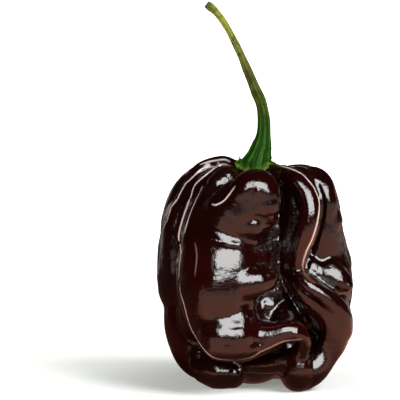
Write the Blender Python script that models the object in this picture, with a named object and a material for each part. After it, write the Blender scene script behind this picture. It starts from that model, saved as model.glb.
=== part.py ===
"""Chocolate habanero pepper standing upright on the blunt ends of its lobes.

Two pieces: the folded pod, one solid, and the green stem with its calyx, which sits on the pod's crown.
"""

import math

import bmesh
import bpy
import numpy as np
from mathutils import Vector
from mathutils.bvhtree import BVHTree

MM = 0.001

# The pod is drawn on a sketch seen from the front, a little from above. One sketch unit is 0.205 mm.
SKETCH_UNIT = 0.205 * MM
SKETCH_ABOVE = math.radians(8.0)
SKETCH_FLOOR = -1.7 * MM

POD_CELL = 0.45 * MM
POD_SOFTENING = 8
POD_TRIANGLES = 8600
CALYX_GAP = 0.4 * MM
CALYX_RADIUS = 4.7 * MM
CALYX_TEETH = 5
CALYX_CENTRE = (0.1 * MM, -0.6 * MM)
STEM_SIDES = 22
RING_SIDES = 40
STEPS_PER_SPAN = 8
# The middle of the finished pepper's box over the origin.
BOX_SHIFT = (-0.03 * MM, -0.34 * MM)

# Each lobe follows a path: across from the middle and up from the floor in sketch units, then depth
# (minus is towards the viewer) and radius in millimetres.
LOBES = {
    "core": [(0, 183, 1.0, 9.0), (0, 129, 0.8, 11.2), (-3, 76, 1.0, 11.0), (-3, 53, 1.0, 9.4)],
    "core_bottom": [(1, 41, 0.0, 5.4), (1, 41, 5.0, 6.0)],
    "valley_floor": [
        (18, 203, -3.4, 4.0), (24, 180, -4.8, 4.6), (25, 150, -5.6, 4.8), (25, 118, -5.8, 4.6), (29, 84, -6.4, 4.8),
        (30, 50, -6.2, 4.6),
    ],
    "left_deep": [(-28, 198, -0.6, 4.6), (-42, 178, -1.8, 5.0), (-48, 150, -2.4, 5.4), (-46, 118, -2.8, 6.4), (-44, 80, -2.0, 7.0)],
    "chin_deep": [(-30, 44, -3.0, 5.6), (2, 40, -5.2, 4.6), (28, 46, -3.6, 5.2)],
    "front": [
        (2, 201, -4.4, 3.6), (0, 198.5, -8.4, 4.1), (-5, 188, -10.6, 5.5), (-13, 175, -9.3, 7.1),
        (-24, 157, -7.2, 9.0), (-30, 142, -7.7, 9.6), (-33, 124, -8.8, 9.8), (-35, 108, -9.3, 9.2),
        (-34, 92, -8.6, 8.4), (-29, 80, -9.0, 7.9), (-21, 68, -11.0, 7.4), (-5, 62, -12.6, 5.5),
        (14, 62.5, -13.8, 3.9), (29, 63, -14.4, 2.6), (40, 60.5, -14.2, 1.8),
    ],
    "front_rib": [
        (-17, 210, -2.0, 2.6), (-34, 198, -4.6, 3.5), (-43, 184, -6.0, 3.6), (-50, 168, -7.4, 3.6),
        (-54, 153, -8.4, 4.0), (-51, 135, -8.4, 6.0),
    ],
    "left_fold": [
        (-15, 212, -0.4, 2.4), (-31, 214, -1.2, 2.5), (-43, 209, -1.8, 2.5), (-50, 200, -2.6, 2.5),
        (-55, 182, -3.4, 2.5), (-62, 162, -4.4, 2.5), (-63, 145, -5.4, 2.6), (-63, 129, -6.0, 3.0),
    ],
    "left_middle": [
        (-29, 214, 2.0, 3.0), (-41, 210, 1.4, 3.0), (-53, 202, 0.8, 3.0), (-59, 193, 0.2, 3.0),
        (-66, 181, -0.2, 3.0), (-74, 163, -0.6, 3.0), (-77, 145, -0.2, 3.0), (-75, 123, 0.6, 3.6),
    ],
    "left_crown": [
        (-19, 222, 1.0, 1.2), (-31, 226, 2.2, 1.3), (-43, 223.5, 2.8, 1.4), (-54, 220.5, 3.0, 1.4),
        (-63, 213, 3.4, 1.4),
    ],
    "left_back": [
        (-7, 206, 3.5, 4.5), (-37, 205, 5.0, 5.6), (-57, 190, 5.4, 6.0), (-64, 160, 5.0, 6.5),
        (-65.5, 126, 4.2, 6.7), (-64, 104, 3.8, 6.3),
    ],
    "left_foot": [(-62, 82, 3.0, 5.5), (-61, 63, 2.0, 5.8), (-54, 42, 0.8, 6.0), (-41, 31.5, -0.5, 5.2)],
    "right_front": [
        (19, 213, -2.0, 3.0), (33, 211, -5.2, 3.2), (41, 204, -7.2, 3.4), (44, 190, -8.2, 3.8),
        (44, 176, -8.5, 3.75), (41.5, 161, -8.6, 3.3), (38, 146, -8.6, 3.0), (35.5, 131, -8.4, 2.6),
        (37, 121, -8.4, 2.2),
    ],
    "right_low": [
        (37, 121, -8.4, 2.2), (44, 112, -8.8, 2.8), (59, 95, -8.6, 4.2), (72, 81, -7.8, 5.0),
        (73, 63, -7.0, 4.7), (64.5, 44, -6.4, 4.1), (57, 27, -7.6, 3.5), (49, 16.5, -9.2, 3.3),
    ],
    "right_deep": [
        (41, 201, -2.5, 5.0), (44, 176, -3.0, 5.0), (42, 146, -2.5, 5.0), (50, 106, -2.0, 6.0),
        (66, 79, -1.5, 6.0), (65, 58, -1.0, 5.6), (54, 37, -1.5, 4.6),
    ],
    "right_back": [
        (17, 201, 1.0, 4.2), (43, 202, 1.4, 5.0), (60, 188, 0.4, 5.0), (62.5, 178, 1.6, 4.7),
        (63.5, 159, 0.2, 5.1), (65, 142, 1.2, 5.0), (69, 121, -1.4, 5.3), (68, 101, 1.0, 5.5), (61, 68, 2.0, 6.0),
    ],
    "chin_left": [
        (-20, 36, 2.0, 5.0), (-36, 29, -3.5, 4.6), (-48, 24, -8.0, 3.3), (-36, 18.5, -9.8, 3.8), (-24, 15.5, -9.4, 3.2),
    ],
    "chin_left_fold": [(-51, 44, -6.0, 1.6), (-57, 34, -7.2, 1.6), (-58, 24, -7.8, 1.7), (-53, 16, -8.4, 1.6)],
    "chin_middle": [(-6, 28, -10.4, 1.6), (8, 26, -11.4, 1.9), (24, 31, -11.8, 2.2), (36, 40, -11.8, 2.1), (44, 48, -11.4, 1.5)],
    "chin_right": [(44, 44, -11.2, 1.8), (43, 33, -11.2, 2.7), (42, 15, -10.6, 3.2), (38, 29, -4.0, 4.2), (28, 35, 2.0, 4.8)],
    "back_left": [
        (-10, 199, 4.0, 4.5), (-22, 198, 8.5, 5.4), (-35, 176, 11.6, 6.2), (-42, 148, 12.4, 6.9),
        (-36, 118, 11.6, 7.3), (-35, 86, 12.0, 6.8), (-31, 53, 9.6, 6.6), (-20, 38, 7.0, 5.5),
    ],
    "back_middle": [
        (0, 204, 5.0, 3.6), (4, 198, 10.0, 4.0), (2, 178, 14.0, 4.0), (-4, 150, 15.2, 4.0), (-3, 120, 14.6, 4.0),
        (2, 92, 14.8, 3.8), (3, 62, 12.8, 3.6), (2, 44, 10.0, 3.6),
    ],
    "back_right": [
        (12, 199, 4.0, 4.5), (32, 198, 7.6, 5.2), (44, 176, 10.4, 6.4), (47, 146, 11.0, 7.2),
        (46, 118, 11.8, 6.6), (43, 90, 10.6, 7.2), (38, 60, 9.8, 6.9), (27, 39, 7.0, 6.0),
    ],
}

# Creases and ridges: side they are drawn from, width and depth in millimetres (minus is a groove), and a
# path of points across and up in sketch units.
FRONT, BACK, LEFT, RIGHT = "front", "back", "left", "right"
FOLDS = [
    (FRONT, 1.1, -0.5, [(15, 97), (5, 94), (-7, 91), (-19, 88)]),
    (FRONT, 1.0, -0.35, [(-15, 213), (-24, 201), (-31, 193), (-41, 186)]),
    (FRONT, 1.1, -0.3, [(29, 158), (14, 154), (-2, 151)]),
    (BACK, 1.2, -0.7, [(-58, 150), (-44, 141), (-34, 128), (-30, 112)]),
    (BACK, 1.4, -0.6, [(60, 96), (46, 88), (30, 92)]),
    (BACK, 1.0, 0.5, [(-44, 104), (-40, 84), (-42, 60)]),
    (BACK, 1.2, -0.5, [(30, 168), (40, 150), (38, 126)]),
    (LEFT, 1.3, -0.6, [(-30, 150), (-18, 128), (-16, 100)]),
    (RIGHT, 1.2, -0.6, [(40, 168), (28, 140), (30, 108), (24, 84)]),
    (RIGHT, 1.1, 0.5, [(6, 150), (8, 128), (2, 110)]),
]

# The stem's middle line: across and up in sketch units, radius in millimetres.
STEM_PATH = [
    (6.0, 244, 2.05), (7.9, 253, 1.5), (8.8, 265, 1.25), (8.2, 276, 1.1), (6, 288, 1.05), (1.4, 299, 0.98),
    (-3.5, 311, 0.88), (-8.2, 322, 0.76), (-13.1, 334, 0.65), (-18.2, 345, 0.58), (-24, 357, 0.53),
    (-30.6, 368, 0.52), (-37.5, 376.5, 0.58), (-46.7, 384.8, 0.7),
]


def from_sketch(across, up, depth):
    """Real place of a sketch point at a depth in millimetres."""
    height = up * SKETCH_UNIT + SKETCH_FLOOR
    y = depth * MM
    return (across * SKETCH_UNIT, y, (height - y * math.sin(SKETCH_ABOVE)) / math.cos(SKETCH_ABOVE))


def smooth_path(points, steps=STEPS_PER_SPAN):
    """A Catmull-Rom curve through points of any size."""
    p = np.array(points, float)
    p = np.vstack([2 * p[0] - p[1], p, 2 * p[-1] - p[-2]])
    out = []
    for i in range(1, len(p) - 2):
        a, b, c, d = p[i - 1 : i + 3]
        for t in np.arange(steps) / steps:
            out.append(0.5 * (2 * b + (c - a) * t + (2 * a - 5 * b + 4 * c - d) * t**2 + (3 * b - a - 3 * c + d) * t**3))
    out.append(p[-2])
    return np.array(out)


def bridged(name, loops):
    """A closed mesh through loops of points, with flat ends."""
    bm = bmesh.new()
    rings = [[bm.verts.new(p) for p in loop] for loop in loops]
    count = len(rings[0])
    for low, high in zip(rings, rings[1:]):
        for i in range(count):
            j = (i + 1) % count
            bm.faces.new((low[i], low[j], high[j], high[i]))
    bm.faces.new(rings[0][::-1])
    bm.faces.new(rings[-1])
    bmesh.ops.recalc_face_normals(bm, faces=bm.faces)
    mesh = bpy.data.meshes.new(name)
    bm.to_mesh(mesh)
    bm.free()
    return mesh


def rings_along(centres, radii, sides, side):
    """Rings square to a path, each turned as little as possible from the last."""
    tangents = np.gradient(centres, axis=0)
    tangents /= np.linalg.norm(tangents, axis=1)[:, None]
    rings = []
    for centre, radius, tangent in zip(centres, radii, tangents):
        side = side - tangent * side.dot(tangent)
        side = side / np.linalg.norm(side)
        up = np.cross(tangent, side)
        turns = np.arange(sides) * 2 * math.pi / sides
        rings.append([centre + radius * (math.cos(a) * side + math.sin(a) * up) for a in turns])
    return rings


def lobe(name, points):
    """A round-ended swelling of changing radius along a smooth path."""
    path = smooth_path([(*from_sketch(*p[:3]), p[3] * MM) for p in points])
    centres, radii = path[:, :3], np.maximum(path[:, 3], 0.3 * MM)
    start, end = centres[0] - centres[1], centres[-1] - centres[-2]
    start, end = start / np.linalg.norm(start), end / np.linalg.norm(end)
    angles = np.radians(np.linspace(84, 0, 8)[:-1])
    head = [centres[0] + start * radii[0] * math.sin(a) for a in angles]
    tail = [centres[-1] + end * radii[-1] * math.sin(a) for a in angles[::-1]]
    ends = [math.cos(a) for a in angles]
    all_centres = np.array([*head, *centres, *tail])
    all_radii = np.array([*(radii[0] * e for e in ends), *radii, *(radii[-1] * e for e in ends[::-1])])
    first = np.array([1.0, 0, 0]) if abs(start[0]) < 0.8 else np.array([0, 1.0, 0])
    return bridged(name, rings_along(all_centres, all_radii, RING_SIDES, first))


def joined(name, meshes):
    bm = bmesh.new()
    for mesh in meshes:
        bm.from_mesh(mesh)
        bpy.data.meshes.remove(mesh)
    mesh = bpy.data.meshes.new(name)
    bm.to_mesh(mesh)
    bm.free()
    return mesh


def with_modifiers(mesh, *modifiers):
    """The mesh as it is after modifiers, each a kind and its settings."""
    obj = bpy.data.objects.new("work", mesh)
    bpy.context.scene.collection.objects.link(obj)
    for kind, settings in modifiers:
        modifier = obj.modifiers.new(kind.lower(), kind)
        for key, value in settings.items():
            setattr(modifier, key, value)
    graph = bpy.context.evaluated_depsgraph_get()
    result = bpy.data.meshes.new_from_object(obj.evaluated_get(graph))
    bpy.data.objects.remove(obj)
    return result


def outer_skin(mesh):
    """Only the largest connected skin, without any pocket closed inside it."""
    bm = bmesh.new()
    bm.from_mesh(mesh)
    bm.verts.ensure_lookup_table()
    seen, islands = set(), []
    for vert in bm.verts:
        if vert.index in seen:
            continue
        island, stack = [], [vert]
        seen.add(vert.index)
        while stack:
            v = stack.pop()
            island.append(v)
            for edge in v.link_edges:
                other = edge.other_vert(v)
                if other.index not in seen:
                    seen.add(other.index)
                    stack.append(other)
        islands.append(island)
    islands.sort(key=len)
    bmesh.ops.delete(bm, geom=[v for island in islands[:-1] for v in island], context="VERTS")
    bm.to_mesh(mesh)
    bm.free()
    return mesh


def coordinates(mesh, attribute="co"):
    values = np.empty(len(mesh.vertices) * 3, np.float32)
    mesh.vertices.foreach_get(attribute, values)
    return values.reshape(-1, 3).astype(float)


def surface_of(mesh):
    bm = bmesh.new()
    bm.from_mesh(mesh)
    surface = BVHTree.FromBMesh(bm)
    bm.free()
    return surface


def dropped_path(surface, side, points):
    """A sketch path laid on the skin, seen from one side of the pod."""
    c, s = math.cos(SKETCH_ABOVE), math.sin(SKETCH_ABOVE)
    turn = {FRONT: 0, RIGHT: 90, BACK: 180, LEFT: 270}[side]
    a = math.radians(turn)
    right = Vector((math.cos(a), math.sin(a), 0))
    level = Vector((-math.sin(a), math.cos(a), 0))
    up, inward = level * s + Vector((0, 0, c)), level * c - Vector((0, 0, s))
    out = []
    for across, height in smooth_path(points, 8):
        start = right * (across * SKETCH_UNIT) + up * (height * SKETCH_UNIT + SKETCH_FLOOR) - inward * 0.1
        hit = surface.ray_cast(start, inward)[0]
        if hit is not None:
            out.append(tuple(hit))
    return np.array(out)


def add_folds(mesh, folds):
    """Push the skin in or out beside each drawn path."""
    surface, places, normals = surface_of(mesh), coordinates(mesh), coordinates(mesh, "normal")
    push = np.zeros(len(places))
    for side, width, depth, points in folds:
        path = dropped_path(surface, side, points)
        if len(path) < 2:
            continue
        reach = 3 * width * MM
        near = np.nonzero(((places > path.min(0) - reach) & (places < path.max(0) + reach)).all(1))[0]
        best, along = np.full(len(near), 1.0), np.zeros(len(near))
        for k, (a, b) in enumerate(zip(path, path[1:])):
            t = np.clip(((places[near] - a) @ (b - a)) / max((b - a) @ (b - a), 1e-12), 0, 1)
            distance = np.linalg.norm(places[near] - (a + t[:, None] * (b - a)), axis=1)
            closer = distance < best
            best[closer], along[closer] = distance[closer], (k + t[closer]) / (len(path) - 1)
        fade = np.clip(np.minimum(along, 1 - along) / 0.25, 0, 1) ** 0.6
        push[near] += depth * MM * np.exp(-((best / (width * MM)) ** 2)) * fade
    mesh.vertices.foreach_set("co", (places + normals * push[:, None]).astype(np.float32).ravel())
    return mesh


def cut_flat(mesh):
    """The low ends cut flat at the floor, as the pod sits."""
    bm = bmesh.new()
    bm.from_mesh(mesh)
    geometry = bm.verts[:] + bm.edges[:] + bm.faces[:]
    bmesh.ops.bisect_plane(bm, geom=geometry, dist=1e-6, plane_co=(0, 0, 0), plane_no=(0, 0, 1), clear_inner=True)
    bmesh.ops.holes_fill(bm, edges=[e for e in bm.edges if e.is_boundary], sides=0)
    bmesh.ops.triangulate(bm, faces=[f for f in bm.faces if len(f.verts) > 3])
    bmesh.ops.recalc_face_normals(bm, faces=bm.faces)
    bm.to_mesh(mesh)
    bm.free()
    return mesh


def pod_mesh(cell=POD_CELL, softening=POD_SOFTENING, triangles=POD_TRIANGLES):
    lobes = joined("lobes", [lobe(name, points) for name, points in LOBES.items()])
    mesh = with_modifiers(
        lobes,
        ("REMESH", {"mode": "VOXEL", "voxel_size": cell}),
        ("SMOOTH", {"factor": 0.5, "iterations": softening}),
    )
    mesh = add_folds(outer_skin(mesh), FOLDS)
    mesh = with_modifiers(mesh, ("SMOOTH", {"factor": 0.5, "iterations": 2}), ("TRIANGULATE", {}))
    if triangles:
        ratio = triangles / len(mesh.polygons)
        mesh = with_modifiers(mesh, ("DECIMATE", {"decimate_type": "COLLAPSE", "ratio": ratio}))
    return cut_flat(mesh)


def crown_height(surface, x, y, reach=0.45 * MM):
    """Height of the pod's crown, with narrow valleys bridged over."""
    best = 0.0
    for dx, dy in [(0, 0), (1, 0), (-1, 0), (0, 1), (0, -1), (0.7, 0.7), (-0.7, 0.7), (0.7, -0.7), (-0.7, -0.7)]:
        hit = surface.ray_cast(Vector((x + dx * reach, y + dy * reach, 0.1)), Vector((0, 0, -1)))[0]
        if hit is not None:
            best = max(best, hit.z)
    return best


def stem_mesh(pod):
    """Calyx laid on the crown, drawn up into the bent stem."""
    surface = surface_of(pod)
    turns = np.arange(STEM_SIDES) * 2 * math.pi / STEM_SIDES
    centre_x, centre_y = CALYX_CENTRE

    def collar(radius, rise, tooth, top=None, share=0.0):
        loop = []
        for a in turns:
            r = radius * (1 + tooth * (0.12 * math.cos(CALYX_TEETH * a + 0.9) + 0.05 * math.cos(2 * a + 2.2)))
            x, y = centre_x + r * math.cos(a), centre_y + r * math.sin(a)
            z = crown_height(surface, x, y) + CALYX_GAP + rise
            loop.append((x, y, z if top is None else z + (top - z) * share))
        return loop

    loops = [collar(CALYX_RADIUS * share, 0, share) for share in (0.2, 0.5, 0.8)]
    loops.append(collar(CALYX_RADIUS, 0, 1.0))
    loops.append(collar(CALYX_RADIUS * 1.01, 0.3 * MM, 1.0))
    loops.append(collar(CALYX_RADIUS * 0.88, 0.5 * MM, 0.8))
    loops.append(collar(CALYX_RADIUS * 0.76, 0.8 * MM, 0.3, 46.2 * MM, 0.4))
    for lean, radius, height in ((0.25, 3.15, 46.9), (0.5, 2.75, 47.6), (0.75, 2.4, 48.2)):
        middle_x = centre_x + lean * MM
        loops.append([(middle_x + radius * MM * math.cos(a), centre_y + radius * MM * math.sin(a), height * MM) for a in turns])
    points = smooth_path([(*from_sketch(across, up, -0.6), r * MM) for across, up, r in STEM_PATH], 2)
    loops += rings_along(points[:, :3], points[:, 3], STEM_SIDES, np.array([1.0, 0, 0]))
    return bridged("stem", loops)


def material(name, colour, roughness):
    made = bpy.data.materials.new(name)
    made.use_nodes = True
    shader = made.node_tree.nodes["Principled BSDF"]
    shader.inputs["Base Color"].default_value = (*colour, 1)
    shader.inputs["Roughness"].default_value = roughness
    shader.inputs["Metallic"].default_value = 0.0
    return made


def placed(name, mesh, made):
    obj = bpy.data.objects.new(name, mesh)
    bpy.context.scene.collection.objects.link(obj)
    mesh.name = name
    mesh.materials.clear()
    mesh.materials.append(made)
    mesh.shade_smooth()
    obj.location = (*BOX_SHIFT, 0)
    return obj


def build():
    pod = pod_mesh()
    stem = stem_mesh(pod)
    placed("pod", pod, material("pod_skin", (0.021, 0.006, 0.004), 0.12))
    placed("stem", stem, material("stem_green", (0.055, 0.13, 0.018), 0.5))


if __name__ == "__main__":
    for old in list(bpy.data.objects):
        bpy.data.objects.remove(old)
    build()
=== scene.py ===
import math

import bmesh
import bpy
import numpy as np
from mathutils import Matrix, Vector, noise
from mathutils.bvhtree import BVHTree


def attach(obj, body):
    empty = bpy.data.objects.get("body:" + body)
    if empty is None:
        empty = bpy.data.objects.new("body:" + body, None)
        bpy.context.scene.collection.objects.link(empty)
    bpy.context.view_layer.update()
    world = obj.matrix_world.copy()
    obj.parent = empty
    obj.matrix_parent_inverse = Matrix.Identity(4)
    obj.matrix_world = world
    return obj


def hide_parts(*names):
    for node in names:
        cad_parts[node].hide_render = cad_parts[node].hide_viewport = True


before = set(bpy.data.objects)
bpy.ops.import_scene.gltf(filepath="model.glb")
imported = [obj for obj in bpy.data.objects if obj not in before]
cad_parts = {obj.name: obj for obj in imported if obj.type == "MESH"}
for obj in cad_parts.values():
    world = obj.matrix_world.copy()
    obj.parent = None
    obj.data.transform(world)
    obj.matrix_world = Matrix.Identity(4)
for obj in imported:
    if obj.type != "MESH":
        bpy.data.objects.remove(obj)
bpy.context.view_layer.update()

# A glossy, deeply folded pepper pod on a white sweep, with a green stem whose calyx lies on the crown.

MM = 0.001
FRONT, RIGHT, BACK, LEFT = "front", "right", "back", "left"
BEARINGS = {FRONT: 0, RIGHT: 90, BACK: 180, LEFT: 270}
# Farther off than any part of the pepper.
OUTSIDE = 100 * MM

# The pod is drawn on a sketch seen from the front, a little from above. One sketch unit is 0.205 mm.
SKETCH_UNIT = 0.205 * MM
SKETCH_ABOVE = math.radians(8.0)
# Height of the sketch's zero line at the pepper's middle.
SKETCH_FLOOR = -1.7 * MM
# A shift that brings the middle of the finished pepper's box over the origin.
BOX_SHIFT = (-0.03 * MM, -0.34 * MM)

# The size of the fused skin's faces, and how often it is smoothed.
SKIN_CELL = 0.342 * MM
SKIN_SOFTENING = 9
# Steps of a path between two of its points, and sides of a lobe's rings. Its ends are rounded by rings up
# to an angle in degrees.
STEPS_PER_SPAN = 8
RING_SIDES = 48
LOBE_END_ANGLE, LOBE_END_RINGS = 84, 7
THINNEST_LOBE = 0.3 * MM

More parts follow.
